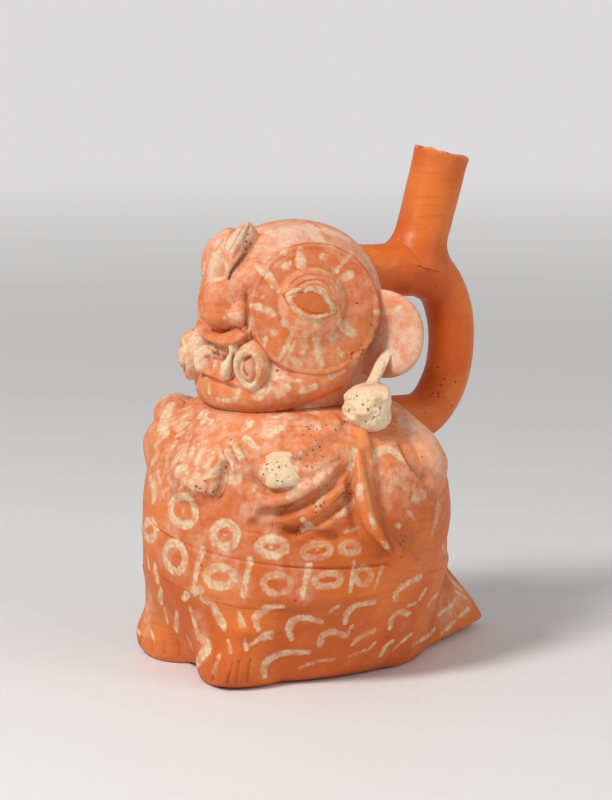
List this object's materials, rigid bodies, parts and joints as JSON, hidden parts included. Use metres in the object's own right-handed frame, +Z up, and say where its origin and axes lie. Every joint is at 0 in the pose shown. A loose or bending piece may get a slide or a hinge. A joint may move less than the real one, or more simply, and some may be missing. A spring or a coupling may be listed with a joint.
{
  "type": "handle spout vessel",
  "caption": "Closed effigy vessel of a seated owl-like figure with large eye discs, folded wings and a tail, and a tubular handle with a leaning spout.",
  "frame": {"origin": "middle of the vessel's outline, on the floor that it stands on", "axes": "+Z up, the figure faces -Y, its left side is towards +X"},
  "size_m": [0.149, 0.1694, 0.2261],
  "materials": {
    "clay": "fired red clay, lightly burnished",
    "burnished": "orange clay, burnished to a soft shine",
    "pink_clay": "worn pinkish clay with a pale haze",
    "cream": "matt cream slip"
  },
  "bodies": {
    "root": {"base_slab": "clay", "body_front_shell": "clay", "body_back_shell": "clay", "tail": "clay", "left_leg": "clay", "right_leg": "clay", "belt_lower_band": "clay", "belt_upper_band": "clay", "handle_front_tube": "burnished", "handle_back_tube": "burnished", "spout": "burnished", "collar": "clay", "held_bundle": "clay", "right_sleeve": "clay", "left_wing": "clay", "left_wing_edge": "burnished", "left_shoulder_lobe": "pink_clay", "right_wing": "clay", "right_wing_edge": "burnished", "right_shoulder_lobe": "pink_clay", "left_hem": "clay", "left_fold": "clay", "left_sleeve": "clay", "left_arm": "clay", "left_wristband": "cream", "left_hand": "clay", "head_front_shell": "pink_clay", "head_back_shell": "pink_clay", "lower_jaw": "clay", "beak": "clay", "upper_lip": "clay", "lower_lip": "clay", "upper_teeth": "cream", "lower_teeth": "cream", "left_eye_disc": "clay", "right_eye_disc": "clay", "left_eyelid": "clay", "right_eyelid": "clay", "left_eye": "clay", "right_eye": "clay", "left_brow": "clay", "left_nostril": "clay", "left_fang": "cream", "left_mouth_curl": "pink_clay", "right_brow": "clay", "right_nostril": "clay", "right_fang": "cream", "right_mouth_curl": "pink_clay", "right_tuft": "pink_clay", "left_tuft": "pink_clay", "left_ear": "pink_clay", "right_ear": "pink_clay", "left_ear_pendant": "cream", "right_ear_pendant": "cream", "right_arm": "clay", "right_wristband": "cream", "right_hand": "clay"}
  },
  "joints": []
}
